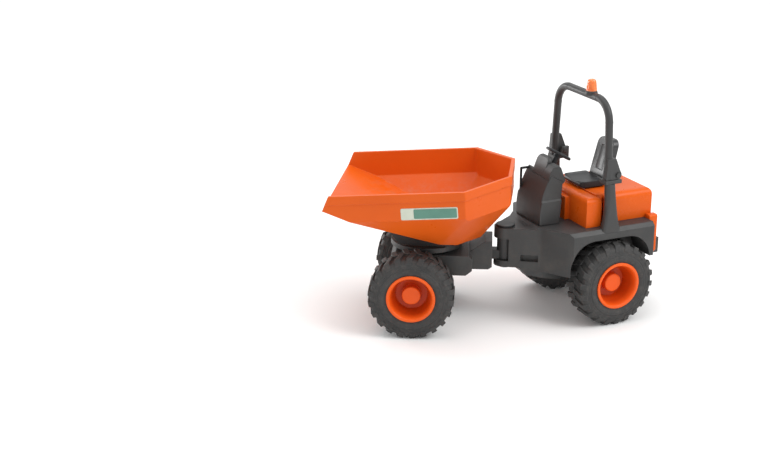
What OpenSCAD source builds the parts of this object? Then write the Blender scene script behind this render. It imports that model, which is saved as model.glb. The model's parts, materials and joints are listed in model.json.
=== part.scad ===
// Toy articulated site dumper with a swivel skip, parked with the front frame turned right.
// Millimetres, Z up, X forward along the rear frame, ground at Z = 0, origin under the middle.

/* [Layout] */
// Steering angle of the front frame as it stands, positive to the left
steer_rest = -28.5; // [-34:0.5:-20]
// Swivel angle of the skip as it stands, positive to the left
swivel_rest = -3.5; // [-6:0.5:0]
// From the articulation pin to either axle
axle_x = 73; // [72:0.5:76]
// From the articulation pin ahead to the swivel axis
swivel_x = 63; // [62.5:0.5:65]
// Between the middle planes of the wheels of one axle
track = 87; // [86:0.5:94]
// Radial play of a turning pin in its bore
fit = 0.05; // [0.02:0.01:0.1]
// Space between pieces that move past one another
play = 0.3; // [0.2:0.05:0.5]

/* [Wheels] */
// Tyre diameter over the lugs
tyre_d = 68; // [64:0.5:68.5]
// Tyre width
tyre_w = 27; // [24:0.5:28]
// Height of the tread lugs
lug_h = 2.6; // [1.5:0.1:3.5]
// Lugs in each of the two rows
lug_count = 22; // [14:1:26]
// Rim diameter over the outer lip
rim_d = 38.6; // [34:0.2:42]
// Hub boss diameter
hub_d = 14.8; // [12:0.2:18]
// Depth of the hub face behind the rim lip
hub_recess = 8; // [5:0.5:10]
// Stub axle diameter
stub_d = 6; // [4:0.2:8]

/* [Front frame] */
// Gap between the front chassis box and the tyres
front_gap = 4; // [3:0.5:8]
// Underside of both chassis boxes above the ground
under_z = 43.5; // [42.5:0.5:44]
// Top of the front chassis box above the ground
front_top_z = 60; // [59:0.5:61]
// Rear end of the front chassis box ahead of the articulation pin
front_start = 26; // [24:0.5:28]
// Front chassis length ahead of the axle
front_nose = 18; // [16:0.5:22]
// Wall thickness of the moulded pieces
wall = 2.4; // [1.8:0.1:3]
// Articulation pin diameter
pin_d = 7; // [6:0.5:8]
// Diameter of the articulation barrel
barrel_d = 13; // [12:0.5:14]
// Width of the neck between the barrel and the front chassis box
neck_w = 9.6; // [8:0.2:10]

/* [Turntable] */
// Edge of the front chassis box beside the turntable ring
ring_edge = 2; // [1:0.5:5]
// Turntable ring height
ring_h = 2.2; // [2:0.1:2.6]
// Swivel spigot diameter
spigot_d = 16; // [12:0.5:20]
// Carrier disc beyond the turntable ring
disc_edge = 5; // [3:0.5:5.5]
// Carrier disc thickness
disc_h = 4; // [3:0.2:4.4]
// Carrier rails above the disc, up to the skip floor
rail_h = 5.4; // [5:0.2:6]
// Tip hinge ahead of the swivel axis
tip_x = 23.5; // [22.5:0.5:25]
// Tip hinge above the ground
tip_z = 78; // [77:0.5:79]
// Tip pin diameter
tip_pin_d = 4.6; // [4:0.2:5]

/* [Skip] */
// Skip width over the rim
skip_w = 128; // [124:1:130]
// Rim height above the ground at the swivel axis
rim_z = 122.8; // [121:0.2:126]
// Nose-down slope of the rim
rim_slope = 4.35; // [3:0.05:6]
// Rim length ahead of the swivel axis
skip_front = 69.9; // [67:0.1:73]
// Rim length behind the swivel axis
skip_rear = 68.4; // [67:0.1:69]
// Rear wall width
rear_wall_w = 51; // [46:1:56]
// Start of the rear corner panels behind the swivel axis
corner_x = 35; // [33:0.1:37]
// Lip ahead of the front of the rim
lip_reach = 6.1; // [4:0.1:8]
// Lip below the rim
lip_drop = 12.1; // [10:0.1:14]
// Side fold below the rim
side_drop = 21.5; // [19:0.1:23]
// Corner fold below the rim
corner_drop = 24; // [22:0.1:26]
// Rear fold below the rim
rear_drop = 23; // [21:0.1:25]
// Height of the rim band
band_h = 7; // [5:0.5:9]
// Floor half width
floor_half = 33; // [30:0.5:35]
// Floor front edge behind the swivel axis
floor_front = 13.7; // [12:0.1:16]
// Floor rear edge behind the swivel axis
floor_rear = 44.9; // [43:0.1:46]
// Floor corner edges from the swivel axis
floor_corner = 38.3; // [37:0.1:40]
// Skip wall thickness
skip_wall = 2; // [1.6:0.1:2.6]

/* [Rear frame] */
// Gap between the rear chassis and the tyres
rear_gap = 6; // [5:0.5:8]
// Start of the full width of the rear chassis behind the articulation pin
flank_x = 20.5; // [19:0.5:22]
// Radius of the chassis nose around the articulation pin
nose_r = 9; // [8.5:0.1:9.5]
// Deck and mudguard height above the ground
deck_z = 80; // [79.5:0.5:82]
// Width over the mudguards
guard_w = 96; // [94:1:100]
// Rear end of the chassis behind the articulation pin
chassis_end = 110.5; // [109:0.5:114]
// Top of the wheel arch above the ground
arch_z = 71.5; // [71:0.5:74]
// Lowest line of the belly behind the articulation pin
belly_x = 37.5; // [35:0.5:40]
// Belly depth below the chassis
belly_h = 9.5; // [7:0.5:11]
// Rear bumper width
bumper_w = 48; // [44:1:52]
// Rear bumper reach behind the chassis
bumper_reach = 22; // [18:1:24]
// Rear bumper lip height
bumper_h = 13; // [10:0.5:15]
// Tow hole diameter
tow_d = 5; // [4:0.2:6]

/* [Engine cover] */
// Engine cover width
cover_w = 66; // [60:1:70]
// Engine cover height above the deck
cover_h = 24; // [22:0.5:26]
// Engine cover overhang behind the chassis
cover_over = 6; // [4:0.5:8]
// Edge radius along the top of the cover
cover_r = 6; // [4:0.5:8]
// Width over the side pods ahead of the roll bar
pod_w = 77; // [72:1:78]
// Length of the side pods
pod_l = 13.5; // [12:0.5:14.5]
// Rear panel width
panel_w = 58; // [54:1:62]
// Rear panel thickness
panel_t = 12; // [10:0.5:14]

/* [Driver place] */
// Foot of the dash behind the articulation pin
dash_x = 20.5; // [20:0.5:22]
// Dash console width
dash_w = 39; // [36:1:41]
// Dash console depth at the deck
dash_l = 18; // [16:0.5:20]
// Top front edge of the dash above the deck
dash_h = 37; // [35:0.5:38]
// Backward lean of the dash front over its height
dash_lean = 7.5; // [5:0.5:8]
// Height of the broad lower part of the dash
dash_step = 20; // [16:0.5:24]
// Steering column in front of the seat
column_gap = 23; // [22:0.5:25]
// Steering column length
column_l = 16; // [15:0.5:18]
// Steering wheel diameter
steer_d = 22; // [20:0.5:24]
// Front edge of the seat ahead of the roll bar
seat_lead = 7.5; // [6:0.5:8]
// Seat width
seat_w = 29; // [26:1:32]
// Seat depth
seat_l = 24; // [22:0.5:25]
// Cushion thickness
cushion_h = 5; // [4.5:0.5:6]
// Seat back height above the cushion
back_h = 30; // [26:1:32]

/* [Roll bar] */
// Roll bar tube diameter
tube_d = 6.2; // [5:0.1:7]
// Roll bar height over the tube above the ground
bar_z = 184; // [178:1:190]
// Bend radius of the roll bar corners
bend_r = 17; // [14:0.5:19]
// Inward lean of the roll bar legs
lean = 4; // [2:0.5:5]
// Roll bar plane behind the articulation pin
bar_x = 68; // [67.5:0.5:70]
// Fold hinge behind the roll bar plane
hinge_back = 7; // [6.5:0.5:8]
// Height of the fold hinge above the ground
hinge_z = 123; // [120:1:126]
// Beacon diameter
beacon_d = 9; // [7:0.2:11]
// Beacon height above the tube
beacon_h = 10; // [8:0.5:13]

/* [Hidden] */
$fn = 64;

orange = [0.93, 0.36, 0.08];
grey = [0.24, 0.25, 0.27];
black = [0.1, 0.1, 0.11];

tyre_r = tyre_d / 2;
axle_z = tyre_r;
lip_r = rim_d / 2;
seat_r = lip_r - 1.3;
half_w = tyre_w / 2;
front_w = track - tyre_w - 2 * front_gap;
rear_w = track - tyre_w - 2 * rear_gap;
ring_d = front_w - 2 * ring_edge;
disc_d = ring_d + 2 * disc_edge;

// Skip outline in its own level frame: x from the swivel axis, z from the rim.
ring_top = front_top_z + ring_h;
disc_z = ring_top + play;
disc_top = disc_z + disc_h;
rail_top = disc_top + rail_h;
floor_z = rail_top + play;
function level(x, z) = [x * cos(rim_slope) - (z - rim_z) * sin(rim_slope),
    x * sin(rim_slope) + (z - rim_z) * cos(rim_slope)];
function world(p) = [p[0] * cos(rim_slope) + p[1] * sin(rim_slope),
    rim_z - p[0] * sin(rim_slope) + p[1] * cos(rim_slope)];
floor_a = level(-floor_front, floor_z);
floor_b = level(-floor_rear, floor_z);
lip_p = [skip_front + lip_reach, -lip_drop];
rear_half = rear_wall_w / 2;
corner_run = [skip_rear - corner_x, skip_w / 2 - rear_half];
corner_a = atan2(corner_run[0], -corner_run[1]);
corner_d = (skip_w / 2 * corner_run[0] + corner_x * corner_run[1]) / norm(corner_run);
band_step = 1;
batter = 0.8;
low_z = floor_b[1] - 4;
// How far each lower wall runs inward for one millimetre of depth below its fold.
low_run = (skip_w / 2 - band_step - batter - floor_half) / (-side_drop - floor_b[1] - 1.3);
corner_low = (corner_d - band_step - batter - floor_corner) / (-corner_drop - floor_b[1] - 0.7);
low_in = low_run * (-side_drop - low_z);
corner_in = corner_low * (-corner_drop - low_z);

// Outline of the plan as it stands, for the origin under the middle.
function spin(p, a) = [p[0] * cos(a) - p[1] * sin(a), p[0] * sin(a) + p[1] * cos(a)];
function skip_at(x, y) = spin([swivel_x, 0], steer_rest) + spin([x, y], steer_rest + swivel_rest);
lip_w = world(lip_p);
rim_front_w = world([skip_front, 0]);
skip_reach = [for (s = [-1, 1]) skip_at(lip_w[0], s * (skip_w / 2 - band_step)),
    for (s = [-1, 1]) skip_at(rim_front_w[0], s * skip_w / 2),
    for (s = [-1, 1]) skip_at(-corner_x, s * skip_w / 2)];
end_x = -chassis_end - bumper_reach;
out_y = track / 2 + half_w;
max_x = max([for (p = skip_reach) p[0]]);
max_y = max(concat([out_y], [for (p = skip_reach) p[1]]));
min_y = min(concat([-out_y], [for (p = skip_reach) p[1]]));
pivot_x = -(max_x + end_x) / 2;
pivot_y = -(max_y + min_y) / 2;

// Articulation levels, from the lower fork plate up.
fork_a = under_z + 2;
fork_b = fork_a + 5;
fork_c = deck_z - 11;
fork_d = deck_z - 2;
barrel_r = barrel_d / 2;

// Roll bar levels and places.
shelf_z = hinge_z - 3.8;
foot_z = shelf_z + play;
hinge_x = -bar_x - hinge_back;
tube_r = tube_d / 2;
bar_mid = bar_z - tube_r;
bend_z = bar_mid - bend_r;
leg_top = bend_z + bend_r * sin(lean);
leg_y = guard_w / 2 - tube_r - 0.4 - (foot_z - deck_z) * tan(lean);
bend_y = leg_y - bend_r * cos(lean) - (leg_top - foot_z) * tan(lean);
leg_foot_y = leg_y + (foot_z - deck_z) * tan(lean);
lug_in = leg_y - tube_r - 3.4;
lug_out = leg_y - tube_r - 0.4;

cover_z = deck_z + cover_h;
dash_top = deck_z + dash_h;

module in_rear() translate([pivot_x, pivot_y, 0]) children();
module in_front() in_rear() rotate([0, 0, steer_rest]) children();
module on_turntable() in_front() translate([swivel_x, 0, 0]) children();
module on_swivel() on_turntable() rotate([0, 0, swivel_rest]) children();
module in_skip() on_swivel() translate([0, 0, rim_z]) rotate([0, rim_slope, 0]) children();

// Extrudes an x-z outline across y, or a y-z outline along x.
module across(y0, y1) translate([0, y1, 0]) rotate([90, 0, 0]) linear_extrude(y1 - y0) children();
module along(x0, x1) translate([x0, 0, 0]) rotate([90, 0, 90]) linear_extrude(x1 - x0) children();
module mirrored() { children(); mirror([0, 1, 0]) children(); }
module lying(r, y0, y1) translate([0, y0, 0]) rotate([-90, 0, 0]) cylinder(r = r, h = y1 - y0);

// Rectangle from a to b with the corners above rounded.
module round_top(x0, x1, z0, z1, r) {
    translate([x0, z0]) square([x1 - x0, z1 - z0 - r]);
    translate([x0 + r, z0]) square([x1 - x0 - 2 * r, z1 - z0]);
    translate([x0 + r, z1 - r]) circle(r);
    translate([x1 - r, z1 - r]) circle(r);
}
module round_all(x0, x1, z0, z1, r) {
    translate([x0, z0 + r]) square([x1 - x0, z1 - z0 - 2 * r]);
    translate([x0 + r, z0]) square([x1 - x0 - 2 * r, z1 - z0]);
    for (x = [x0 + r, x1 - r], z = [z0 + r, z1 - r]) translate([x, z]) circle(r);
}

// Convex counter-clockwise outline moved inward by t.
function unit(v) = v / norm(v);
function left(a, b) = let (d = unit(b - a)) [-d[1], d[0]];
function meet(p, d, q, e) = let (k = ((q[0] - p[0]) * e[1] - (q[1] - p[1]) * e[0])
    / (d[0] * e[1] - d[1] * e[0])) p + k * d;
function inset(o, t) = let (n = len(o)) [for (i = [0:n - 1])
    let (a = o[(i + n - 1) % n], b = o[i], c = o[(i + 1) % n])
    meet(b + t * left(a, b), b - a, b + t * left(b, c), c - b)];

// Wheels, built with the axle along Z and the outer face up.
module at_wheel(front, side) {
    if (front) in_front() translate([axle_x, side * track / 2, axle_z])
        rotate([-90 * side, 0, 0]) children();
    else in_rear() translate([-axle_x, side * track / 2, axle_z])
        rotate([-90 * side, 0, 0]) children();
}
module tyre_section(r, flank) {
    bead = half_w - 1.4 - fit;
    side = [[seat_r + fit, bead], [lip_r + 2 * fit, bead], [lip_r + 3.6, half_w],
        [r - 4.4, half_w - flank], [r, half_w - flank - 2.4]];
    polygon(concat(side, [for (i = [4:-1:0]) [side[i][0], -side[i][1]]]));
}
module tyre(front, side) {
    pitch = 360 / lug_count;
    thick = tyre_r * PI / lug_count * 0.9;
    color(black) at_wheel(front, side) union() {
        rotate_extrude() tyre_section(tyre_r - lug_h, 0.8);
        intersection() {
            rotate_extrude() tyre_section(tyre_r, 0.5);
            for (m = [0, 1], i = [0:lug_count - 1])
                rotate([0, 0, 90 + (i + m / 2) * pitch]) mirror([0, 0, m])
                    translate([tyre_r - lug_h - 2.5, 0, 0]) rotate([90, 0, 90])
                    linear_extrude(lug_h + 4) polygon([[-thick / 2 - 2, -0.8],
                    [thick / 2 - 2, -0.8], [thick / 2 + 2, half_w], [-thick / 2 + 2, half_w]]);
        }
    }
}
module rim(front, side) {
    face = half_w - 0.2;
    boss = face - hub_recess;
    color(orange) at_wheel(front, side) difference() {
        rotate_extrude() polygon([[0, -5], [hub_d / 2, -5], [hub_d / 2, -4.4],
            [seat_r - 1.8, -half_w + 1.6], [seat_r, -half_w + 1.6], [seat_r, half_w - 1.4],
            [lip_r, half_w - 1.4], [lip_r, face - 0.3], [lip_r - 0.4, face],
            [seat_r - 0.7, face], [seat_r - 1.6, face - 1.2], [seat_r - 5.4, boss - 6],
            [hub_d / 2, boss - 6.6], [hub_d / 2, boss - 0.6], [hub_d / 2 - 0.6, boss],
            [0, boss]]);
        translate([0, 0, -6]) cylinder(d = stub_d + 2 * fit, h = 6 + boss - 3);
        difference() {
            translate([0, 0, -half_w]) cylinder(r = seat_r - 1.8, h = half_w - 5);
            translate([0, 0, -half_w - 1]) cylinder(d = hub_d, h = half_w);
        }
    }
}

module axle(w, top) {
    lying(stub_d / 2, -track / 2 - 0.6, track / 2 + 0.6);
    lying(8, -w / 2, w / 2);
    translate([-8, -w / 2, 0]) cube([16, w, top - axle_z]);
}
module rear_axle() color(grey) in_rear() translate([-axle_x, 0, axle_z]) axle(rear_w, under_z);
module front_axle() color(grey) in_front() translate([axle_x, 0, axle_z]) axle(front_w, under_z);

// Front frame: an open-bottomed box, with the articulation barrel on a neck behind it.
module front_chassis() {
    x0 = front_start;
    x1 = axle_x + front_nose;
    neck_z = fork_b + play;
    neck_x = nose_r + 1.2;
    color(grey) in_front() difference() {
        union() {
            across(-front_w / 2, front_w / 2) polygon([[x0, under_z + 4], [x0 + 5, under_z],
                [x1 - 8, under_z], [x1, under_z + 6], [x1, front_top_z - 4],
                [x1 - 4, front_top_z], [x0 + 3, front_top_z], [x0, front_top_z - 3]]);
            translate([0, -neck_w / 2, neck_z]) cube([x0, neck_w, front_top_z - 2 - neck_z]);
            across(-front_w / 4, front_w / 4) polygon([[neck_x, under_z + 3], [neck_x + 3, under_z + 1],
                [x0 + 2, under_z + 1], [x0 + 2, front_top_z - 0.5], [neck_x + 6, fork_c - 1],
                [neck_x, fork_c - 1]]);
            translate([0, 0, neck_z]) cylinder(d = barrel_d, h = fork_c - fork_b - 2 * play);
        }
        translate([x0 + 6, -front_w / 2 + wall, under_z - 1])
            cube([x1 - x0 - 14, front_w - 2 * wall, front_top_z - under_z + 1 - wall]);
        cylinder(d = pin_d + 2 * fit, h = deck_z);
        translate([swivel_x, 0, 0]) cylinder(d = spigot_d + 1, h = front_top_z + 1);
    }
}
module turntable_ring() color(grey) on_turntable() difference() {
    translate([0, 0, front_top_z]) cylinder(d = ring_d, h = ring_h);
    cylinder(d = spigot_d + 2 * fit, h = ring_top + 1);
}

// Carrier that turns on the ring: a disc, two rails under the floor and two hinge cheeks.
cheek_w = 4;
cheek_y = disc_d / 2 - 11;
boss_r = 4;
rail_x = sqrt(disc_d * disc_d / 4 - pow(cheek_y + cheek_w, 2)) - 0.5;
module skip_carrier() color(grey) on_swivel() difference() {
    union() {
        translate([0, 0, disc_z]) cylinder(d = disc_d, h = disc_h);
        translate([0, 0, front_top_z - wall]) cylinder(d = spigot_d, h = disc_z - front_top_z + wall + 1);
        for (s = [-1, 1]) scale([1, s, 1]) {
            across(cheek_y, cheek_y + cheek_w) polygon([[-rail_x, disc_top - 1], [rail_x, disc_top - 1],
                [tip_x + boss_r - 0.4, tip_z - 2], [tip_x, tip_z + boss_r - 0.6],
                [tip_x - boss_r, tip_z + 1], [-floor_front + 3, rail_top], [-floor_front - 12, rail_top],
                [-floor_front - 12, rail_top - 2.5]]);
            translate([tip_x, 0, tip_z]) lying(boss_r, cheek_y, cheek_y + cheek_w);
        }
    }
    translate([tip_x, 0, tip_z]) lying(tip_pin_d / 2 + fit, -40, 40);
}
module tip_pin() color(black) on_swivel() translate([tip_x, 0, tip_z])
    lying(tip_pin_d / 2, -cheek_y - cheek_w - 1, cheek_y + cheek_w + 1);

// Skip body as the overlap of a side outline, a front outline and two corner outlines.
function side_line(t) = [[skip_front, 0], [-skip_rear + t, 0],
    [-skip_rear + t + 1, -rear_drop], floor_b + t * unit(floor_a - floor_b), floor_a, lip_p];
function front_line(t) = [[skip_w / 2 - t, 0], [-skip_w / 2 + t, 0],
    [-skip_w / 2 + t + batter, -side_drop], [-skip_w / 2 + t + batter + low_in, low_z],
    [skip_w / 2 - t - batter - low_in, low_z], [skip_w / 2 - t - batter, -side_drop]];
function corner_line(t) = [[corner_d - t, 0], [-120, 0], [-120, low_z],
    [corner_d - t - batter - corner_in, low_z], [corner_d - t - batter, -corner_drop]];
function raised(p, q, z) = p + (q - p) * (z - p[1]) / (q[1] - p[1]);
function side_open(t) = let (o = side_line(t), far = o[4] + (o[5] - o[4]) * 1.6)
    [[far[0], 40], raised(o[2], o[1], 40), o[2], o[3], o[4], far];
function front_open(t) = let (o = front_line(t))
    [raised(o[5], o[0], 40), raised(o[2], o[1], 40), o[2], o[3], o[4], o[5]];
function corner_open(t) = let (o = corner_line(t))
    [raised(o[4], o[0], 40), [-120, 40], [-120, low_z], o[3], o[4]];
module along_u() translate([0, 150, 0]) rotate([90, 0, 0]) linear_extrude(300) children();
module skip_outer(t) intersection() {
    across(-90, 90) polygon(side_line(t));
    along(-120, 120) polygon(front_line(t));
    rotate([0, 0, corner_a]) along_u() polygon(corner_line(t));
    rotate([0, 0, -corner_a]) along_u() polygon(corner_line(t));
}
module skip_inner(t) intersection() {
    across(-90, 90) polygon(inset(side_open(t), skip_wall));
    along(-120, 140) polygon(inset(front_open(t), skip_wall));
    rotate([0, 0, corner_a]) along_u() polygon(inset(corner_open(t), skip_wall));
    rotate([0, 0, -corner_a]) along_u() polygon(inset(corner_open(t), skip_wall));
}
function side_core(t) = let (o = side_line(t), e = o[2], d = unit(o[3] - e),
    low = e + d * (low_z - 8 - e[1]) / d[1])
    [[160, 40], raised(e, o[1], 40), e, low, [160, low[1]]];
module skip_core(t) intersection() {
    across(-95, 95) polygon(side_core(t));
    along(-130, 150) polygon(front_open(t));
    rotate([0, 0, corner_a]) along_u() polygon(corner_open(t));
    rotate([0, 0, -corner_a]) along_u() polygon(corner_open(t));
}
module skip_tub() color(orange) in_skip() difference() {
    skip_outer(0);
    difference() {
        translate([-130, -100, low_z - 20]) cube([260, 200, -low_z + 20 - band_h]);
        skip_core(band_step);
    }
    skip_inner(band_step);
}
module skip_hinge_lugs() color(grey) difference() {
    on_swivel() for (s = [-1, 1]) scale([1, s, 1]) difference() {
        union() {
            across(cheek_y - cheek_w - play, cheek_y - play) polygon([[tip_x - 13, tip_z + 4],
                [tip_x - boss_r + 0.6, tip_z - 2], [tip_x + boss_r - 0.6, tip_z - 2],
                [tip_x + 13, tip_z + 12], [tip_x + 13, tip_z + 24], [tip_x - 13, tip_z + 24]]);
            translate([tip_x, 0, tip_z]) lying(boss_r, cheek_y - cheek_w - play, cheek_y - play);
        }
        translate([tip_x, 0, tip_z]) lying(tip_pin_d / 2 + fit, 0, 40);
    }
    in_skip() across(-90, 90) polygon([floor_a, lip_p, lip_p + [0, 60], floor_a + [0, 60]]);
}

// Rear frame: body with a tapered nose around the pin, and mudguards with arches.
arch_a = -axle_x - 34;
arch_b = -axle_x + 39;
arch_r = 21;
flank_y = rear_w / 2;
belly_z = under_z - belly_h;
nose_turn = asin(nose_r / norm([flank_x, flank_y])) - atan2(flank_y, flank_x);
nose_p = 0.97 * nose_r * [-sin(nose_turn), cos(nose_turn)];
flank_a = atan2(flank_y - nose_p[1], -flank_x - nose_p[0]);
module arch() {
    translate([arch_a, 0]) square([arch_b - arch_a, arch_z - arch_r]);
    translate([arch_a + arch_r, 0]) square([arch_b - arch_a - 2 * arch_r, arch_z]);
    for (x = [arch_a + arch_r, arch_b - arch_r]) translate([x, arch_z - arch_r]) circle(arch_r);
}
module guard_plan() polygon([[-flank_x, flank_y - 1], [-flank_x, flank_y],
    [arch_b + 3.5, guard_w / 2 - 5.4], [arch_b - 1.2, guard_w / 2], [-chassis_end, guard_w / 2],
    [-chassis_end, flank_y - 1]]);
module body_plan() {
    circle(nose_r);
    polygon([nose_p, [-flank_x, flank_y], [-chassis_end, flank_y], [-chassis_end, -flank_y],
        [-flank_x, -flank_y], [nose_p[0], -nose_p[1]]]);
}
module body_side() polygon([[nose_r + 1, fork_d], [-flank_x + 5, fork_d], [-flank_x + 2, deck_z],
    [-chassis_end, deck_z], [-chassis_end, under_z], [-belly_x - 11, under_z], [-belly_x, belly_z],
    [-flank_x + 10, under_z - 3.5], [-pin_d / 2 - 2, fork_a], [nose_r + 1, fork_a]]);
// Room for the barrel, and for the neck as it swings with the steering.
module neck_room() {
    circle(barrel_r + play);
    polygon([[0, -barrel_r], [0.36 * nose_r, -1.2 * nose_r], [2 * nose_r, -2 * nose_r],
        [2 * nose_r, 2 * nose_r], [0.36 * nose_r, 1.2 * nose_r], [0, barrel_r]]);
}
module rear_chassis() color(grey) in_rear() difference() {
    union() {
        intersection() {
            across(-flank_y - 5, flank_y + 5) body_side();
            linear_extrude(deck_z) body_plan();
        }
        mirrored() difference() {
            translate([0, 0, under_z]) linear_extrude(deck_z - under_z) guard_plan();
            across(flank_y, guard_w / 2 + 9) arch();
            translate([-chassis_end - 1, flank_y, 0]) cube([chassis_end - axle_x + 1, 60, 52]);
            translate([-chassis_end - 1, guard_w / 2, deck_z - 3]) rotate([45, 0, 0])
                cube([chassis_end, 6, 6]);
        }
    }
    translate([-chassis_end + wall, -flank_y + wall, 0])
        cube([chassis_end - 2 * wall - flank_x, rear_w - 2 * wall, deck_z - wall]);
    translate([0, 0, fork_b]) linear_extrude(fork_c - fork_b) neck_room();
    mirrored() translate([-flank_x, flank_y, 51]) rotate([0, 0, flank_a + 180])
        translate([3, -4, 0]) cube([14, 8, 5.5]);
    cylinder(d = pin_d + 2 * fit, h = deck_z);
}
module belly_pan() color(grey) in_rear() across(-flank_y + wall + 0.2, flank_y - wall - 0.2) {
    x0 = -flank_x - wall - 0.4;
    x1 = -belly_x - 11;
    polygon([[x0, under_z - 4], [-belly_x, belly_z + 2.5], [x1, under_z + 2], [x1, under_z + 4],
        [-belly_x - 0.4, belly_z + 5.5], [x0, under_z - 1]]);
}
module pivot_pin() color(black) in_rear() translate([0, 0, fork_a - 1.4]) {
    cylinder(d = pin_d, h = fork_d - fork_a + 2.8);
    translate([0, 0, fork_d - fork_a + 1.4]) cylinder(r = nose_r - 1.5, h = 1.6);
    translate([0, 0, -0.4]) cylinder(d = pin_d + 3, h = 1.8);
}

// Driver's place: dash, wheel and seat.
dash_slope = 30;
dash_bulge = 3;
seat_x = -bar_x + seat_lead;
col_p = [seat_x + column_gap, dash_top - 0.5];
dash_a = [-dash_x, deck_z];
dash_b = [-dash_x - dash_lean, dash_top];
dash_chord = norm(dash_b - dash_a);
dash_r = dash_chord * dash_chord / 8 / dash_bulge + dash_bulge / 2;
dash_c = (dash_a + dash_b) / 2 + (dash_r - dash_bulge) * left(dash_a, dash_b);
module dash_outline() intersection() {
    polygon([dash_a + [6, 0], dash_b + [6, 0], dash_b, col_p + 8 * [1, tan(dash_slope)],
        col_p - 3.5 * [1, tan(dash_slope)], [-dash_x - dash_l, deck_z]]);
    translate(dash_c) circle(dash_r, $fn = 128);
}
module dash_console() color(grey) in_rear() {
    across(-dash_w / 2 + 1.2, dash_w / 2 - 1.2) dash_outline();
    intersection() {
        across(-dash_w / 2, dash_w / 2) dash_outline();
        translate([-dash_x - 40, -30, deck_z]) cube([60, 60, dash_step]);
    }
}
// Hood over the instruments: a hump with a slanted face and rounded top edges.
module dash_cowl() color(grey) in_rear() difference() {
    intersection() {
        across(-9, 8) translate(dash_b) polygon([[0, 0], [-5.5, 14.5], [-7, 15.5], [-9, 15], [-5.6, 0]]);
        along(-dash_x - 24, -dash_x) round_top(-9, 8, dash_top - 2, dash_top + 16, 6);
    }
    across(-20, 20) dash_outline();
}
module control_box() color(grey) in_rear() difference() {
    intersection() {
        across(8.6, dash_w / 2 - 1.6) translate(col_p) polygon([[0, -7.5], [10, -0.5], [8, 6.5],
            [5, 11], [1, 12], [-1.5, 9.5], [-6, -1.5]]);
        along(-dash_x - 40, -dash_x) round_top(8.6, dash_w / 2 - 1.6, dash_top - 10, dash_top + 12, 2.5);
    }
    across(-20, 30) dash_outline();
}
module grab_handle() color(black) in_rear() difference() {
    translate([-dash_x - 1.6, -dash_w / 2 + 3.4, dash_top - 14]) union() {
        cylinder(d = 2, h = 16);
        translate([0, 0, 16]) sphere(d = 2);
        translate([0, 0, 16]) rotate([0, -90, 0]) cylinder(d = 2, h = dash_lean);
    }
    across(-30, 30) dash_outline();
}
module on_column() in_rear() translate([col_p[0], 0, col_p[1]]) rotate([0, -dash_slope, 0]) children();
module steering_column() color(black) on_column() {
    cylinder(d = 4.4, h = column_l);
    cylinder(d = 7, h = 2);
}
module steering_wheel() color(black) on_column() translate([0, 0, column_l]) {
    grip = 1.25;
    cylinder(d = 6, h = 3.4);
    translate([0, 0, 2.4]) rotate_extrude() translate([steer_d / 2 - grip, 0]) circle(grip);
    for (a = [60, 180, 300]) rotate([0, 0, a]) translate([0, -1, 1.4]) cube([steer_d / 2 - grip, 2, 1.8]);
}
back_w = seat_w - 6;
cushion_z = cover_z + 1.2;
back_z = cushion_z + cushion_h;
module seat_pedestal() color(black) in_rear() translate([seat_x - seat_l + 1, -seat_w / 3, cover_z])
    cube([seat_l - 4, seat_w / 1.5, cushion_z - cover_z]);
// Cushion with a shallow dish between its side bolsters.
module seat_cushion() color(black) in_rear() difference() {
    intersection() {
        across(-seat_w / 2, seat_w / 2) round_all(seat_x - seat_l, seat_x, cushion_z, back_z, 2.4);
        translate([0, 0, cushion_z]) linear_extrude(cushion_h + 1) round_all(seat_x - seat_l, seat_x,
            -seat_w / 2, seat_w / 2, 4);
    }
    along(seat_x - seat_l + 2, seat_x + 5) translate([0, back_z + 38.6]) circle(40, $fn = 128);
}
// Leaning back rest, its front dished between the bolsters.
module seat_back() color(black) in_rear() {
    lean_x = 8;
    foot_x = seat_x - seat_l;
    difference() {
        intersection() {
            across(-back_w / 2, back_w / 2) polygon([[foot_x - 5, cushion_z - 0.6],
                [foot_x, cushion_z - 0.6], [foot_x, back_z], [foot_x - lean_x, back_z + back_h],
                [foot_x - lean_x - 5, back_z + back_h]]);
            along(foot_x - 20, foot_x + 5) round_top(-back_w / 2, back_w / 2, cushion_z - 1,
                back_z + back_h, 6);
        }
        translate([foot_x, 0, back_z + 5]) rotate([0, -atan2(lean_x, back_h), 0])
            translate([23, 0, 0]) cylinder(r = 25, h = back_h - 10, $fn = 128);
    }
}

// Engine cover: pods ahead of the roll bar, a waist beside it, and the rounded cover behind.
cover_x0 = -chassis_end - cover_over;
waist_x = -bar_x + 2.5;
module cover_form(t) {
    intersection() {
        across(-40, 40) round_top(cover_x0 + t, waist_x, deck_z - 1, cover_z - t, 4 - t);
        along(cover_x0 - 1, -bar_x - 3.5) round_top(-cover_w / 2 + t, cover_w / 2 - t, deck_z - 1,
            cover_z - t, cover_r - t);
    }
    translate([-bar_x - 7.5, -cover_w / 2 + 3 + t, deck_z - 1])
        cube([11 + t, cover_w - 6 - 2 * t, cover_h + 1 - t]);
    intersection() {
        across(-40, 40) round_top(waist_x + 0.5 + t, waist_x + 0.5 + pod_l - t, deck_z - 1,
            cover_z - t, 4 - t);
        along(waist_x - 6, waist_x + 24) round_top(-pod_w / 2 + t, pod_w / 2 - t, deck_z - 1,
            cover_z - t, 5 - t);
    }
}
module engine_cover() color(orange) in_rear() difference() {
    union() {
        cover_form(0);
        translate([waist_x + pod_l - 1.5, -12, deck_z - 1]) cube([6, 24, cover_h - 4]);
    }
    cover_form(2);
    translate([cover_x0 - 5, -50, deck_z - 2]) cube([90, 100, 2]);
}
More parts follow.
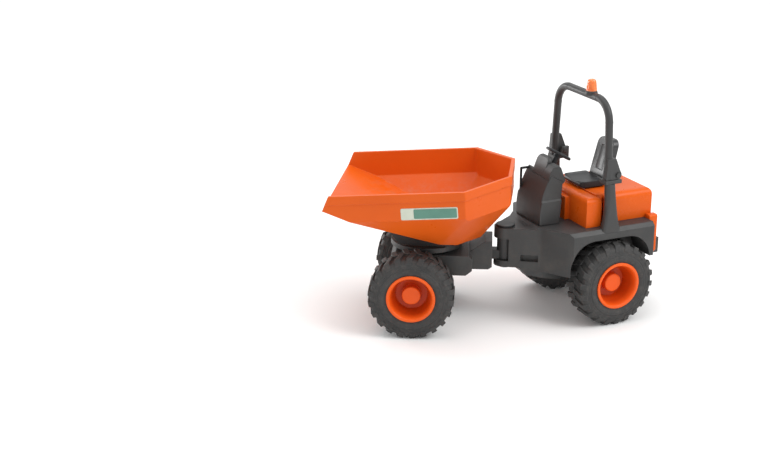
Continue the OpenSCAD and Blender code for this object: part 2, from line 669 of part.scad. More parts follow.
module rear_panel() color(orange) in_rear() translate([-chassis_end, 0, 0]) difference() {
    across(-panel_w / 2, panel_w / 2) polygon([[0, 50], [-panel_t + 4, 50], [-panel_t, 56],
        [-panel_t, deck_z - 4], [-panel_t + 3, deck_z], [0, deck_z]]);
    translate([-panel_t + 3, -panel_w / 2 + 3, 53]) cube([panel_t, panel_w - 6, deck_z - 56]);
    for (i = [0:4]) translate([-panel_t - 1, -20, 59 + i * 3.4]) cube([5, 40, 1.6]);
}
module rear_bumper() color(grey) in_rear() translate([end_x, 0, under_z]) difference() {
    union() {
        translate([0, -bumper_w / 2, 0]) cube([bumper_reach, bumper_w, 4]);
        translate([0, -bumper_w / 2, 0]) cube([3, bumper_w, bumper_h]);
        for (y = [-bumper_w / 2, bumper_w / 2 - 3]) across(y, y + 3) polygon([[0, 2], [12, 2], [12, 4],
            [3, bumper_h], [0, bumper_h]]);
    }
    translate([6.5, 0, -1]) cylinder(d = tow_d, h = 6);
}

// Roll bar: fixed posts with hinge lugs, and the folding hoop above them.
module post(side) color(grey) in_rear() scale([1, side, 1]) {
    difference() {
        union() {
            translate([-bar_x, leg_foot_y, deck_z]) rotate([lean, 0, 0])
                cylinder(d = tube_d, h = (shelf_z - 1.5 - deck_z) / cos(lean));
            translate([hinge_x - 3.5, lug_in, shelf_z - 3])
                cube([hinge_back + tube_r + 4.5, leg_y + tube_r - lug_in, 3]);
            across(lug_in, lug_out) polygon([[hinge_x - 3.5, shelf_z - 1], [hinge_x + 4.5, shelf_z - 1],
                [hinge_x + 3, hinge_z + 3], [hinge_x - 3.5, hinge_z + 3]]);
            translate([hinge_x, 0, hinge_z]) lying(2, lug_in - 0.6, leg_y + tube_r + 0.8);
        }
        translate([-bar_x - 20, 0, deck_z - 10]) cube([40, 90, 10]);
    }
}
module foot(side) scale([1, side, 1]) difference() {
    union() {
        across(leg_y - 2.6, leg_y + 2.6) polygon([[hinge_x, foot_z], [-bar_x + tube_r + 0.8, foot_z],
            [-bar_x + tube_r - 0.4, foot_z + 17], [-bar_x - 4.8, foot_z + 17],
            [hinge_x - 2.6, hinge_z + 2]]);
        translate([hinge_x, 0, hinge_z]) lying(hinge_z - foot_z - 0.1, leg_y - 2.6, leg_y + 2.6);
        translate([-bar_x, leg_y - tan(lean), foot_z + 1]) rotate([lean, 0, 0])
            cylinder(d = tube_d, h = (leg_top - foot_z - 1) / cos(lean));
        translate([-bar_x, bend_y + bend_r * cos(lean), leg_top]) rotate([lean, 0, 0])
            translate([0, 0, -0.8]) cylinder(r = tube_r + 0.1, h = 1.6);
        translate([-bar_x, bend_y, bend_z]) rotate([90, 0, 90]) rotate([0, 0, lean])
            rotate_extrude(angle = 90 - lean) translate([bend_r, 0]) circle(tube_r);
    }
    translate([hinge_x, 0, hinge_z]) lying(2 + fit, 0, 90);
}
module rollbar_hoop() color(grey) in_rear() {
    foot(1);
    foot(-1);
    translate([-bar_x, 0, bar_mid]) {
        lying(tube_r, -bend_y, bend_y);
        for (s = [-1, 1]) lying(tube_r + 0.1, s * bend_y - 0.8, s * bend_y + 0.8);
    }
}
module beacon() color(orange) in_rear() translate([-bar_x, 11, bar_mid]) difference() {
    union() {
        cylinder(d = beacon_d, h = tube_r + beacon_h - beacon_d / 4);
        translate([0, 0, tube_r + beacon_h - beacon_d / 4]) scale([1, 1, 0.5])
            sphere(d = beacon_d);
    }
    lying(tube_r, -20, 20);
}

rear_chassis();
belly_pan();
pivot_pin();
rear_axle();
dash_console();
dash_cowl();
control_box();
grab_handle();
steering_column();
steering_wheel();
engine_cover();
seat_pedestal();
seat_cushion();
seat_back();
rear_panel();
rear_bumper();
post(1);  // rollbar_post_left
post(-1);  // rollbar_post_right
rollbar_hoop();
beacon();
front_chassis();
front_axle();
turntable_ring();
skip_carrier();
tip_pin();
skip_tub();
skip_hinge_lugs();
tyre(true, 1);  // tyre_front_left
tyre(true, -1);  // tyre_front_right
tyre(false, 1);  // tyre_rear_left
tyre(false, -1);  // tyre_rear_right
rim(true, 1);  // rim_front_left
rim(true, -1);  // rim_front_right
rim(false, 1);  // rim_rear_left
rim(false, -1);  // rim_rear_right
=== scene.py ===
"""Looks of the toy articulated dumper: materials, moulded edges, trim, stage, light and camera."""

import json
import math

import bmesh
import bpy
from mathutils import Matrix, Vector
from mathutils.bvhtree import BVHTree


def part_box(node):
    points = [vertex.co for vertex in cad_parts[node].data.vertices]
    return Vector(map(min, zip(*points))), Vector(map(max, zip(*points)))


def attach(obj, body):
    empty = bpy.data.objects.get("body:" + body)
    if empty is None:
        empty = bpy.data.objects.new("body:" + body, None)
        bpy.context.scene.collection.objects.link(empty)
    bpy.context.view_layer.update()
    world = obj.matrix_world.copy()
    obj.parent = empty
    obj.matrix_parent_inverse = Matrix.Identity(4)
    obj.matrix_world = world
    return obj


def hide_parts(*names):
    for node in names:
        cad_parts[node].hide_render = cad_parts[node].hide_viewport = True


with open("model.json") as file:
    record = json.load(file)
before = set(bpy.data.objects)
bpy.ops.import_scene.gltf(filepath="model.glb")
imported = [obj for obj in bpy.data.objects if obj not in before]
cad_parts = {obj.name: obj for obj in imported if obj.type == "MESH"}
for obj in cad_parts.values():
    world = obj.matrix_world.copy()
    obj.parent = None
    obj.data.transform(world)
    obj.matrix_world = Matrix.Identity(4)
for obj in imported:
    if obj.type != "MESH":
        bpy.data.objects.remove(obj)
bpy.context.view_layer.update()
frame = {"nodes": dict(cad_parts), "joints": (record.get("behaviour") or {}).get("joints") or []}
nodes = frame["nodes"]
joints = {joint["name"]: joint for joint in frame["joints"]}

MM = 0.001
ENDS = ("front", "rear")
SIDES = {"left": 1, "right": -1}
AHEAD = Vector((1, 0, 0))
LEFT = Vector((0, 1, 0))
UP = Vector((0, 0, 1))

# Camera, found by fitting the wheels and the skip rim to the photograph; metres from the foot of
# the steering pin.
PHOTO_WIDTH_PX = 770
PHOTO_FOCAL_PX = 1400
SENSOR = 36.0
CAMERA_AT = Vector((0.52528, 0.93203, 0.44252))
CAMERA_AIM = Vector((0.08983, -0.03656, 0.07598))
CLIP_START = 10 * MM

# Lights, in metres and watts: where each stands, what it aims at, its width and its power. The one
# at the side puts the gloss on the seat back, and the one at the back whitens the floor behind.
TOY_MIDDLE = Vector((0, 0, 0.06))
LIGHTS = {
    "key": (Vector((-0.72, 0.85, 1.1)), TOY_MIDDLE, 0.9, 11.0),
    "top": (Vector((0.15, -0.1, 1.4)), TOY_MIDDLE, 1.3, 6.0),
    "side": (Vector((0.545, -0.967, 0.18)), Vector((-0.1, 0.03, 0.13)), 0.5, 5.0),
    "back": (Vector((-0.6, -2.2, 1.6)), Vector((-0.6, -1.9, 0)), 2.5, 14.0),
}
SKY = 0.8

# The floor reaches this far each way, in metres, so that its edge stays out of low views.
FLOOR_REACH = 12.0
FLOOR_CELLS = 8

# Linear colours. The two named clouds are factors, for the darker patches of labels and floor.
ORANGE = (0.71, 0.110, 0.008)
ORANGE_DEEP = (0.65, 0.094, 0.006)
# Paler edges of the skip: wear, and a painted highlight.
ORANGE_WORN_AND_HIGHLIT = (0.95, 0.26, 0.06)
RIM_ORANGE = (0.84, 0.112, 0.010)
RIM_ORANGE_DEEP = (0.78, 0.098, 0.008)
# Painted shade for the inside of a rim's cone.
RIM_PAINTED_SHADE = (0.52, 0.048, 0.003)
GREY = (0.034, 0.0345, 0.0345)
GREY_PALE = (0.045, 0.0455, 0.0455)
BLACK = (0.016, 0.017, 0.018)
BLACK_PALE = (0.028, 0.029, 0.031)
RUBBER = (0.036, 0.036, 0.036)
RUBBER_PALE = (0.056, 0.055, 0.054)
RUBBER_WORN = (0.10, 0.10, 0.10)
RUBBER_DUST = (0.16, 0.14, 0.12)
LENS = (0.80, 0.15, 0.02)
LENS_PALE = (0.88, 0.25, 0.06)
DUST = (0.42, 0.34, 0.25)
LABEL = (0.62, 0.66, 0.55)
LABEL_FIELD = (0.10, 0.25, 0.19)
LABEL_CLOUDS = 0.88
FLOOR = (0.93, 0.93, 0.925)
FLOOR_CLOUDS = 0.985

# Edges of plastic, worn and with a painted highlight, are paler than its colour by this factor and this
# much more. Rubber wears by a share.
WORN_AND_HIGHLIT_GAIN = 1.5
WORN_AND_HIGHLIT_LIFT = 0.03
RUBBER_WEAR = 0.5

# Handling leaves plastic smoother and rougher than its own roughness by up to this much.
HANDLED_SMOOTHER = 0.06
HANDLED_ROUGHER = 0.1

# Grain that the moulds leave on plastic.
GRAIN = 0.5 * MM
GRAIN_DEEP = 0.08 * MM

# Dust makes plastic rougher. In the skip it lies below the top height and is full at the other.
DUST_ROUGHER = 0.4
SKIP_DUST_ROUGHER = 0.5
SKIP_DUST_SHARE = 0.32
SKIP_DUST_TOP = 105 * MM
SKIP_DUST_FULL = 85 * MM

# Edges: the radius that shading gives them all, and the real bevel of pieces with few, long edges.
SHARP = math.radians(35)
SMOOTH = math.radians(40)
EDGE_SHADING = 0.8 * MM
EDGE_SAMPLES = 8
BEVELS = {
    "belly_pan": 0.5 * MM, "dash_console": 0.8 * MM, "rear_bumper": 0.5 * MM,
    "rear_panel": 0.5 * MM, "seat_pedestal": 0.8 * MM, "skip_hinge_lugs": 0.5 * MM,
    "skip_tub": 0.5 * MM, "turntable_ring": 0.5 * MM,
}
WING_BEVEL = 0.7 * MM
BEVEL_SEGMENTS = 2
WELD = 0.01 * MM
NORMAL_WEIGHT = 80

# Edge marks (wear, and on plastic also a painted highlight) start and are full where the rounded normal
# leaves the flat one by these cosines.
EDGE_MARK_START = 0.995
EDGE_MARK_FULL = 0.85

# Blank label on the left wall of the skip: its middle from the swivel axis and the ground.
LABEL_AHEAD = -8.0 * MM
LABEL_Z = 107.1 * MM
LABEL_LONG = 43.8 * MM
LABEL_HIGH = 9.4 * MM
LABEL_BORDER = 0.9 * MM
LABEL_PLAIN = 10.0 * MM
LABEL_CORNER = 1.2 * MM
LABEL_TILT = math.radians(4.35)
LABEL_FILM = 0.12 * MM
# How far left of the swivel axis the label starts before it is pressed onto the wall.
LABEL_OFF = 150 * MM

# Places in a rim, from its middle plane and its axis: they bound the painted shade inside its cone.
RIM_LIP = 12.6 * MM
RIM_DEEP = 7.0 * MM
HUB_EDGE = 7.5 * MM
HUB_FADE = 0.3 * MM

# Turned shapes are (radius, height along the axis) in millimetres. Tyres count from their middle
# plane: the raised rings on a sidewall, and the outer half of the carcass between the lugs.
SIDEWALL_RINGS = (
    ((23.9, 12.8), (24.0, 13.38), (24.3, 13.52), (24.7, 13.46), (25.0, 13.2), (25.1, 12.6)),
    ((26.0, 12.5), (26.1, 12.98), (26.35, 13.1), (26.6, 13.02), (26.8, 12.4)),
)
CARCASS = ((26.4, 12.2), (26.9, 12.75), (29.2, 12.6), (31.1, 11.75), (32.1, 10.4), (32.5, 8.4),
    (32.6, 3.0))
RING_STEPS = 96
CARCASS_STEPS = 128

# Warning light, from the top of the roll bar: its lens, and the saddle on the bar. The flutes of
# the lens are cut in by a share of its radius.
BEACON_LENS = ((0.02, 0.0), (4.35, 0.0), (4.3, 1.6), (4.05, 4.0), (3.75, 6.4), (3.4, 8.2), (2.9, 9.2),
    (2.1, 9.7), (1.0, 9.95), (0.02, 10.0))
BEACON_SADDLE = ((0.02, -2.6), (5.2, -2.6), (5.2, -1.6), (4.8, -0.4), (4.6, 0.3), (4.4, 0.6),
    (0.02, 0.6))
SADDLE_STEPS = 64
FLUTES = 24
FLUTE_STEPS = 8
FLUTE_DEEP = 0.05

# Flared foot around each roll bar post: (height, middle behind the pin, half length), millimetres.
POST_FLARE = ((76.8, 70.0, 8.2), (80.0, 70.0, 8.0), (84.0, 70.0, 6.9), (90.0, 70.0, 5.7),
    (98.0, 70.0, 4.8), (107.0, 69.8, 4.1), (116.0, 69.4, 3.8))
POST_HALF = 3.4 * MM
POST_CORNER = 2.6 * MM
POST_TUBE = 3.1 * MM
POST_LEAN = math.radians(4)

# Side wings of the rear panel: outline across the frame and above the ground, millimetres.
WING = ((29.2, 50.0), (37.5, 50.0), (40.0, 53.0), (40.0, 82.0), (39.0, 83.4), (33.6, 83.4),
    (33.6, 79.8), (29.2, 79.8))
WING_DEEP = 8.0 * MM

# Steps around each corner of a rounded rectangle.
CORNER_STEPS = 6


def wheel_place(end, side):
    """Middle of a wheel, and the direction out of the vehicle along its axle."""
    left, right = (sum(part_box(f"tyre_{end}_{name}"), Vector()) / 2 for name in SIDES)
    out = (left - right).normalized()
    return (left, out) if side == "left" else (right, -out)


class Graph:
    """Short calls that add nodes to one material and link them."""

    def __init__(self, name):
        self.material = bpy.data.materials.new(name)
        self.material.use_nodes = True
        self.tree = self.material.node_tree
        self.shader = self.tree.nodes["Principled BSDF"]
        self.place = self.add("ShaderNodeTexCoord").outputs

    def add(self, kind, settings=None, **inputs):
        node = self.tree.nodes.new(kind)
        for key, value in (settings or {}).items():
            setattr(node, key, value)
        for key, value in inputs.items():
            self.set(node.inputs[key.replace("_", " ")], value)
        return node

    def set(self, socket, value):
        if isinstance(value, bpy.types.NodeSocket):
            self.tree.links.new(value, socket)
        else:
            socket.default_value = value

    def noise(self, size, detail=2.0, rough=0.5):
        """Noise whose features are about size metres across."""
        return self.add("ShaderNodeTexNoise", Scale=1 / size, Detail=detail, Roughness=rough,
            Vector=self.place["Object"]).outputs["Fac"]

    def ramp(self, value, low, high, least=0.0, most=1.0):
        """Maps low..high to least..most, clamped."""
        return self.add("ShaderNodeMapRange", Value=value, From_Min=low, From_Max=high,
            To_Min=least, To_Max=most).outputs["Result"]

    def cloud(self, size, detail=2.0, rough=0.5, least=0.0, most=1.0):
        """Noise spread out over least..most."""
        return self.ramp(self.noise(size, detail, rough), low=0.3, high=0.7, least=least, most=most)

    def math(self, operation, first, second):
        node = self.add("ShaderNodeMath", {"operation": operation})
        self.set(node.inputs[0], first)
        self.set(node.inputs[1], second)
        return node.outputs[0]

    def times(self, product, *factors):
        for factor in factors:
            product = self.math("MULTIPLY", product, factor)
        return product

    def vector(self, operation, first, second=(0, 0, 0)):
        """Vector maths: a dot product and a length give a value, the rest a vector."""
        node = self.add("ShaderNodeVectorMath", {"operation": operation})
        self.set(node.inputs[0], first)
        self.set(node.inputs[1], second)
        return node.outputs["Value" if operation in ("DOT_PRODUCT", "LENGTH") else "Vector"]

    def mix(self, share, under, over):
        """Colour that goes from under to over as the share rises."""
        node = self.add("ShaderNodeMix", {"data_type": "RGBA"})
        self.set(node.inputs["Factor"], share)
        for socket, value in ((node.inputs[6], under), (node.inputs[7], over)):
            self.set(socket, value if isinstance(value, bpy.types.NodeSocket) else (*value, 1))
        return node.outputs[2]

    def height(self, vector):
        return self.add("ShaderNodeSeparateXYZ", Vector=vector).outputs["Z"]

    def rounded(self):
        """Normal of the surface with its edges rounded."""
        bevel = self.add("ShaderNodeBevel", {"samples": EDGE_SAMPLES}, Radius=EDGE_SHADING)
        return bevel.outputs["Normal"]

    def edges(self):
        """Near 1 on edges, from the rounded normal against the flat one."""
        flat = self.add("ShaderNodeNewGeometry").outputs["Normal"]
        return self.ramp(self.vector("DOT_PRODUCT", self.rounded(), flat), EDGE_MARK_START, EDGE_MARK_FULL)

    def worn_and_highlit(self, least, most):
        """Share of wear and painted highlight, on edges alone and uneven along them."""
        patches = self.noise(6 * MM, detail=3.0)
        uneven = self.ramp(patches, low=0.35, high=0.65, least=least, most=most)
        return self.times(self.edges(), uneven)

    def scuffed(self, least, most):
        """Roughness of handled plastic."""
        marks = self.noise(20 * MM, detail=5.0, rough=0.7)
        return self.ramp(marks, low=0.3, high=0.75, least=least, most=most)

    def bump(self, height, strength, distance):
        node = self.add("ShaderNodeBump", Height=height, Strength=strength, Distance=distance,
            Normal=self.rounded())
        self.set(self.shader.inputs["Normal"], node.outputs["Normal"])

    def finish(self, colour, rough, **constants):
        self.set(self.shader.inputs["Base Color"], colour)
        self.set(self.shader.inputs["Roughness"], rough)
        for key, value in constants.items():
            self.set(self.shader.inputs[key.replace("_", " ")], value)
        return self.material


def moulded_plastic(name, colour, other, rough, dust_top, dust_share, sheen=0.25):
    """Moulded plastic: cloudy tint, fine grain, edges paler from wear and a painted highlight, dust
    that fades out with height.
    """
    graph = Graph(name)
    tint = graph.mix(graph.cloud(45 * MM, detail=4.0), colour, other)
    pale_worn_and_highlit = [min(1.0, WORN_AND_HIGHLIT_GAIN * channel + WORN_AND_HIGHLIT_LIFT) for channel in colour]
    # Paler edges: wear, and a painted highlight.
    tint = graph.mix(graph.worn_and_highlit(least=0.1, most=0.35), tint, pale_worn_and_highlit)
    low = graph.ramp(graph.height(graph.place["Object"]), low=dust_top, high=0.0)
    speck = graph.ramp(graph.noise(12 * MM, detail=6.0, rough=0.65), low=0.42, high=0.72)
    dust = graph.times(low, speck, dust_share)
    tint = graph.mix(dust, tint, DUST)
    graph.bump(graph.noise(GRAIN), strength=0.22, distance=GRAIN_DEEP)
    handled = graph.scuffed(rough - HANDLED_SMOOTHER, rough + HANDLED_ROUGHER)
    dusty = graph.math("ADD", handled, graph.times(dust, DUST_ROUGHER))
    return graph.finish(tint, dusty, Specular_IOR_Level=sheen)


def skip_plastic():
    """The orange of the load skip, with sand dust left on its floor and slopes."""
    graph = Graph("skip_plastic")
    tint = graph.mix(graph.cloud(60 * MM, detail=4.0), ORANGE, ORANGE_DEEP)
    # Paler edges: wear, and a painted highlight.
    tint = graph.mix(graph.worn_and_highlit(least=0.15, most=0.4), tint, ORANGE_WORN_AND_HIGHLIT)
    upward = graph.ramp(graph.height(graph.place["Normal"]), low=0.25, high=0.8)
    low = graph.ramp(graph.height(graph.place["Object"]), SKIP_DUST_TOP, SKIP_DUST_FULL)
    speck = graph.ramp(graph.noise(8 * MM, detail=9.0, rough=0.75), low=0.45, high=0.7)
    dust = graph.times(upward, low, speck, SKIP_DUST_SHARE)
    tint = graph.mix(dust, tint, DUST)
    graph.bump(graph.noise(GRAIN), strength=0.2, distance=GRAIN_DEEP)
    handled = graph.scuffed(least=0.27, most=0.42)
    dusty = graph.math("ADD", handled, graph.times(dust, SKIP_DUST_ROUGHER))
    return graph.finish(tint, dusty, Specular_IOR_Level=0.2)


def rim_plastic(end, side):
    """The orange of a rim, with painted shade deeper inside its cone, around the hub."""
    graph = Graph(f"rim_plastic_{end}_{side}")
    middle, out = wheel_place(end, side)
    local = graph.vector("SUBTRACT", graph.place["Object"], middle)
    inside = graph.ramp(graph.vector("DOT_PRODUCT", local, out), RIM_LIP, RIM_DEEP)
    radius = graph.vector("LENGTH", graph.vector("CROSS_PRODUCT", local, out))
    painted_shade = graph.times(inside, graph.ramp(radius, HUB_EDGE, HUB_EDGE + HUB_FADE))
    tint = graph.mix(graph.cloud(30 * MM, detail=4.0), RIM_ORANGE, RIM_ORANGE_DEEP)
    # Painted shade: the cone is darker from the rim's lip inward, apart from the hub.
    tint = graph.mix(painted_shade, tint, RIM_PAINTED_SHADE)
    graph.bump(graph.noise(GRAIN), strength=0.2, distance=GRAIN_DEEP)
    rough = graph.cloud(10 * MM, detail=4.0, least=0.3, most=0.4)
    return graph.finish(tint, rough, Specular_IOR_Level=0.25)


def tyre_rubber():
    """Soft dark rubber with a mould bloom, paler edges and dust."""
    graph = Graph("tyre_rubber")
    tint = graph.mix(graph.cloud(18 * MM, detail=5.0, rough=0.6), RUBBER, RUBBER_PALE)
    tint = graph.mix(graph.times(graph.edges(), RUBBER_WEAR), tint, RUBBER_WORN)
    speck = graph.noise(4 * MM, detail=6.0, rough=0.7)
    tint = graph.mix(graph.ramp(speck, low=0.5, high=0.8, most=0.35), tint, RUBBER_DUST)
    graph.bump(graph.noise(0.8 * MM, detail=3.0), strength=0.3, distance=0.1 * MM)
    rough = graph.cloud(10 * MM, detail=4.0, least=0.62, most=0.8)
    return graph.finish(tint, rough, Specular_IOR_Level=0.3)


def beacon_plastic():
    """Warning-light cap: milky orange plastic."""
    graph = Graph("beacon_lens")
    tint = graph.mix(graph.cloud(4 * MM, detail=3.0), LENS, LENS_PALE)
    graph.bump(graph.noise(0.6 * MM), strength=0.15, distance=0.06 * MM)
    rough = graph.cloud(3 * MM, least=0.16, most=0.26)
    return graph.finish(tint, rough, Subsurface_Weight=0.35, Subsurface_Scale=3 * MM, Coat_Weight=0.4)


def label_film(name, colour):
    """Plain matt film without any print."""
    graph = Graph(name)
    shade = [LABEL_CLOUDS * channel for channel in colour]
    tint = graph.mix(graph.cloud(10 * MM, detail=5.0), colour, shade)
    graph.bump(graph.noise(0.6 * MM), strength=0.1, distance=0.05 * MM)
    return graph.finish(tint, graph.cloud(6 * MM, detail=4.0, least=0.42, most=0.55))


def pale_floor():
    graph = Graph("pale_floor")
    shade = [FLOOR_CLOUDS * channel for channel in FLOOR]
    tint = graph.mix(graph.cloud(400 * MM, detail=4.0), FLOOR, shade)
    graph.bump(graph.noise(2 * MM, detail=3.0), strength=0.05, distance=0.2 * MM)
    return graph.finish(tint, graph.cloud(100 * MM, least=0.75, most=0.9), Specular_IOR_Level=0.2)


orange = moulded_plastic("orange_plastic", ORANGE, ORANGE_DEEP, rough=0.28, dust_top=60 * MM,
    dust_share=0.12, sheen=0.16)
grey = moulded_plastic("grey_plastic", GREY, GREY_PALE, rough=0.44, dust_top=90 * MM,
    dust_share=0.12, sheen=0.4)
black = moulded_plastic("black_plastic", BLACK, BLACK_PALE, rough=0.36, dust_top=50 * MM,
    dust_share=0.2)
seat_black = moulded_plastic("seat_plastic", BLACK, BLACK_PALE, rough=0.34, dust_top=50 * MM,
    dust_share=0.0, sheen=0.6)
rubber = tyre_rubber()
lens = beacon_plastic()

# The CAD nodes that aren't grey.
material_of = {
    "engine_cover": orange, "rear_panel": orange, "skip_tub": skip_plastic(), "beacon": lens,
    "seat_back": seat_black, "seat_cushion": black, "seat_pedestal": black,
    "steering_column": black, "steering_wheel": black, "grab_handle": black,
    "pivot_pin": black, "tip_pin": black,
}
for end in ENDS:
    for side in SIDES:
        material_of[f"rim_{end}_{side}"] = rim_plastic(end, side)
        material_of[f"tyre_{end}_{side}"] = rubber


def soften(node, width=None):
    """Joins split vertices, bevels the sharp edges or keeps them crisp, and evens the shading."""
    node.modifiers.new("weld", "WELD").merge_threshold = WELD
    if width:
        bevel = node.modifiers.new("bevel", "BEVEL")
        bevel.width = width
        bevel.segments = BEVEL_SEGMENTS
        bevel.limit_method = "ANGLE"
        bevel.angle_limit = SHARP
    else:
        node.modifiers.new("split", "EDGE_SPLIT").split_angle = SHARP
    node.modifiers.new("even", "WEIGHTED_NORMAL").weight = NORMAL_WEIGHT


def dress_cad():
    for name, node in nodes.items():
        node.data.materials.clear()
        node.data.materials.append(material_of.get(name, grey))
        soften(node, BEVELS.get(name))


def new_object(name, bm, material):
    mesh = bpy.data.meshes.new(name)
    bm.to_mesh(mesh)
    bm.free()
    mesh.materials.append(material)
    made = bpy.data.objects.new(name, mesh)
    bpy.context.scene.collection.objects.link(made)
    return made


def mesh_piece(name, bm, material, body):
    """Makes a piece of the toy from a bmesh that is already in its place at rest."""
    bmesh.ops.recalc_face_normals(bm, faces=bm.faces)
    piece = new_object(name, bm, material)
    for face in piece.data.polygons:
        face.use_smooth = True
    piece.data.set_sharp_from_angle(angle=SMOOTH)
    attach(piece, body)
    return piece


def join(bm, ring, after):
    """Faces between two closed rings of vertices."""
    for place in range(len(ring)):
        bm.faces.new((ring[place - 1], ring[place], after[place], after[place - 1]))


def skin(bm, rings):
    """Joins closed rings one to the next, and closes both ends."""
    for ring, after in zip(rings, rings[1:]):
        join(bm, ring, after)
    bm.faces.new(rings[0])
    bm.faces.new(rings[-1])


def lathe(bm, profile, centre, axis, steps, flutes=0):
    """Turns a closed profile about the axis, fluted or plain."""
    ahead = axis.orthogonal().normalized()
    aside = axis.cross(ahead)
    rings = []
    for step in range(steps):
        angle = 2 * math.pi * step / steps
        swell = 1 - FLUTE_DEEP * (1 - math.cos(angle * flutes)) / 2
        out = (ahead * math.cos(angle) + aside * math.sin(angle)) * swell
        rings.append([bm.verts.new(centre + (out * radius + axis * height) * MM)
            for radius, height in profile])
    for ring, after in zip(rings, rings[1:] + rings[:1]):
        join(bm, ring, after)


def round_rectangle(centre, along, across, half_long, half_wide, corner):
    """Points around a rectangle with rounded corners, in the plane of along and across."""
    path = []
    for quarter, (fore, aside) in enumerate(((1, 1), (-1, 1), (-1, -1), (1, -1))):
        middle = centre + along * fore * (half_long - corner) + across * aside * (half_wide - corner)
        for step in range(CORNER_STEPS + 1):
            angle = (quarter + step / CORNER_STEPS) * math.pi / 2
            path.append(middle + (along * math.cos(angle) + across * math.sin(angle)) * corner)
    return path


def make_label():
    """A pale film with a plain green field, pressed onto the left wall of the skip, unprinted."""
    left = Vector(joints["skip_tip"]["axis"]).normalized()
    ahead = left.cross(UP)
    run = ahead * math.cos(LABEL_TILT) - UP * math.sin(LABEL_TILT)
    rise = run.cross(left)
    swivel = Vector(joints["skip_swivel"]["pos_m"])
    centre = Vector((swivel.x, swivel.y, LABEL_Z)) + ahead * LABEL_AHEAD + left * LABEL_OFF
    base = round_rectangle(centre, run, rise, LABEL_LONG / 2, LABEL_HIGH / 2, LABEL_CORNER)
    field = round_rectangle(centre - run * (LABEL_PLAIN - LABEL_BORDER) / 2, run, rise,
        (LABEL_LONG - LABEL_PLAIN - LABEL_BORDER) / 2, LABEL_HIGH / 2 - LABEL_BORDER, LABEL_BORDER)
    tub = nodes["skip_tub"].data
    wall = BVHTree.FromPolygons([vertex.co for vertex in tub.vertices],
        [face.vertices for face in tub.polygons])
    for name, outline, layers, colour in (("skip_label", base, 1, LABEL),
            ("skip_label_field", field, 2, LABEL_FIELD)):
        feet = [wall.ray_cast(point, -left)[0] for point in outline]
        bm = bmesh.new()
        skin(bm, [[bm.verts.new(foot + left * lift) for foot in feet]
            for lift in (layers * LABEL_FILM, -LABEL_FILM)])
        mesh_piece(name, bm, label_film(name, colour), "skip")


def make_tyre_trim():
    """The carcass that fills the roots of the lugs, and rings moulded on both sidewalls."""
    carcass = CARCASS + tuple((radius, -height) for radius, height in reversed(CARCASS))
    for end in ENDS:
        for side in SIDES:
            middle, out = wheel_place(end, side)
            wheel = f"{end}_{side}"
            bm = bmesh.new()
            lathe(bm, carcass, middle, out, CARCASS_STEPS)
            mesh_piece(f"tyre_carcass_{wheel}", bm, rubber, f"wheel_{wheel}")
            bm = bmesh.new()
            for ring in SIDEWALL_RINGS:
                lathe(bm, ring, middle, out, RING_STEPS)
                lathe(bm, ring, middle, -out, RING_STEPS)
            mesh_piece(f"sidewall_rings_{wheel}", bm, rubber, f"wheel_{wheel}")


def make_post_flares():
    """Flared feet of the roll bar posts, lofted around the tubes."""
    pin = Vector(joints["steer"]["pos_m"])
    for side, sign in SIDES.items():
        low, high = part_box(f"rollbar_post_{side}")
        foot_y = (high.y if side == "left" else low.y) - sign * POST_TUBE
        bm = bmesh.new()
        rings = []
        for height, behind, half_long in POST_FLARE:
            lean = (height * MM - low.z) * math.tan(POST_LEAN)
            middle = Vector((pin.x - behind * MM, foot_y - sign * lean, height * MM))
            outline = round_rectangle(middle, AHEAD, LEFT, half_long * MM, POST_HALF, POST_CORNER)
            rings.append([bm.verts.new(point) for point in outline])
        skin(bm, rings)
        mesh_piece(f"rollbar_foot_{side}", bm, grey, "rear_frame")


def make_panel_wings():
    """Orange wings that close the rear panel out to the mudguards."""
    chassis_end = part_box("rear_chassis")[0].x
    middle = joints["steer"]["pos_m"][1]
    for side, sign in SIDES.items():
        bm = bmesh.new()
        skin(bm, [[bm.verts.new((x, middle + sign * aside * MM, height * MM)) for aside, height in WING]
            for x in (chassis_end, chassis_end - WING_DEEP)])
        wing = mesh_piece(f"rear_panel_wing_{side}", bm, orange, "rear_frame")
        soften(wing, WING_BEVEL)


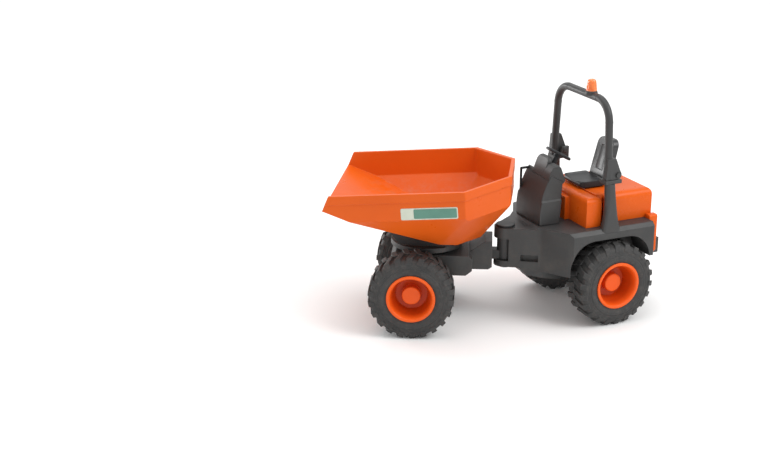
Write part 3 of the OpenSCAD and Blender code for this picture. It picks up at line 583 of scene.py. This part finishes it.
def make_beacon():
    """Tapered and fluted lens of the warning light, on a saddle over the roll bar."""
    low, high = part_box("beacon")
    bar_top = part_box("rollbar_hoop")[1].z
    foot = Vector(((low.x + high.x) / 2, (low.y + high.y) / 2, bar_top))
    bm = bmesh.new()
    lathe(bm, BEACON_LENS, foot, UP, FLUTES * FLUTE_STEPS, FLUTES)
    cap = mesh_piece("beacon_cap", bm, lens, "rollbar")
    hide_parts("beacon")
    bm = bmesh.new()
    lathe(bm, BEACON_SADDLE, foot, UP, SADDLE_STEPS)
    mesh_piece("beacon_saddle", bm, grey, "rollbar")


def make_floor():
    bm = bmesh.new()
    bmesh.ops.create_grid(bm, x_segments=FLOOR_CELLS, y_segments=FLOOR_CELLS, size=FLOOR_REACH)
    floor = new_object("floor", bm, pale_floor())


def aim(thing, at, target):
    """Links a light or a camera into the scene at a place, looking at its target."""
    thing.location = at
    thing.rotation_mode = "QUATERNION"
    thing.rotation_quaternion = (target - at).to_track_quat("-Z", "Y")
    bpy.context.scene.collection.objects.link(thing)


def make_light():
    world = bpy.data.worlds.new("studio")
    world.use_nodes = True
    sky = world.node_tree.nodes["Background"]
    sky.inputs["Color"].default_value = (1, 1, 1, 1)
    sky.inputs["Strength"].default_value = SKY
    bpy.context.scene.world = world
    for name, (at, target, width, power) in LIGHTS.items():
        light = bpy.data.lights.new(name, "AREA")
        light.shape = "DISK"
        light.size = width
        light.energy = power
        aim(bpy.data.objects.new(name, light), at, target)


def make_camera():
    data = bpy.data.cameras.new("camera")
    data.sensor_width = SENSOR
    data.lens = PHOTO_FOCAL_PX / PHOTO_WIDTH_PX * SENSOR
    data.clip_start = CLIP_START
    camera = bpy.data.objects.new("camera", data)
    pin = Vector(joints["steer"]["pos_m"])
    foot = Vector((pin.x, pin.y, 0))
    aim(camera, foot + CAMERA_AT, foot + CAMERA_AIM)
    bpy.context.scene.camera = camera


dress_cad()
make_label()
make_tyre_trim()
make_post_flares()
make_panel_wings()
make_beacon()
make_floor()
make_light()
make_camera()
bpy.context.scene.view_settings.view_transform = "Standard"
